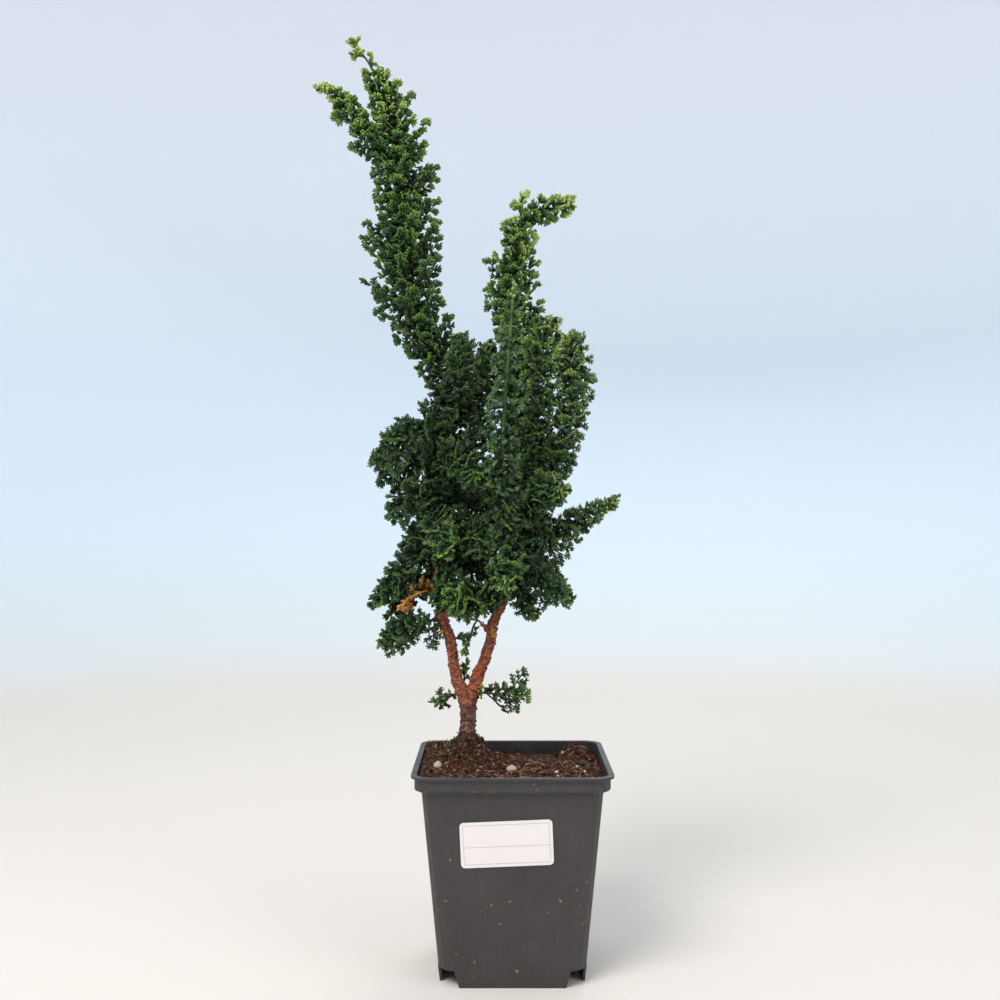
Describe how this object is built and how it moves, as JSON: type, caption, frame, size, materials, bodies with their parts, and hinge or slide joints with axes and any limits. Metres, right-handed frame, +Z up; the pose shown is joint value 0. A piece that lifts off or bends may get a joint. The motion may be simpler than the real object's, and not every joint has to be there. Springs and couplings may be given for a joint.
{
  "type": "hinoki cypress bonsai in a square nursery pot",
  "caption": "Young hinoki cypress with a forked trunk and upright leafy plumes, growing in soil in a tapered square nursery pot with a blank label.",
  "frame": {"origin": "on the surface that the pot stands on, straight below the foot of the trunk, which is the middle of the part's footprint box", "axes": "+Z up, +X to the right of the front, -Y towards the front, where the label is"},
  "size_m": [0.1743, 0.1398, 0.5345],
  "materials": {
    "pot_plastic": "satin, dark grey, with fine rubs and specks of soil",
    "label_paper": "plain white sticker with neutral printed bars",
    "potting_soil": "rough, dark reddish-brown peat with white grit and moss",
    "bark": "rough, flaking reddish-brown bark",
    "leaf": "soft sheen, scale leaves, dark green with yellow-green tips",
    "dead_leaf": "dry, ochre-brown"
  },
  "bodies": {
    "root": {"dead_twig_left": "dead_leaf", "label": "label_paper", "leader_back": "leaf", "leader_back_side": "leaf", "leader_mid": "leaf", "leader_right": "leaf", "plume_left": "leaf", "plume_left_fork": "leaf", "pot": "pot_plastic", "shoot_front": "leaf", "soil": "potting_soil", "spray_back_centre": "leaf", "spray_back_centre_low": "leaf", "spray_back_left": "leaf", "spray_back_left_high": "leaf", "spray_back_right": "leaf", "spray_back_right_high": "leaf", "spray_back_right_low": "leaf", "spray_centre": "leaf", "spray_centre_front": "leaf", "spray_centre_low": "leaf", "spray_centre_right_top": "leaf", "spray_centre_top": "leaf", "spray_inner_centre": "leaf", "spray_left_front": "leaf", "spray_left_inner": "leaf", "spray_left_low": "leaf", "spray_left_lowest": "leaf", "spray_left_mid": "leaf", "spray_right": "leaf", "spray_right_front": "leaf", "spray_right_high": "leaf", "spray_right_low": "leaf", "spray_right_under": "leaf", "trunk": "bark", "twig_behind": "leaf", "twig_fork": "leaf", "twig_hanging": "leaf", "twig_low_left": "leaf", "twig_low_right": "leaf"}
  },
  "joints": []
}
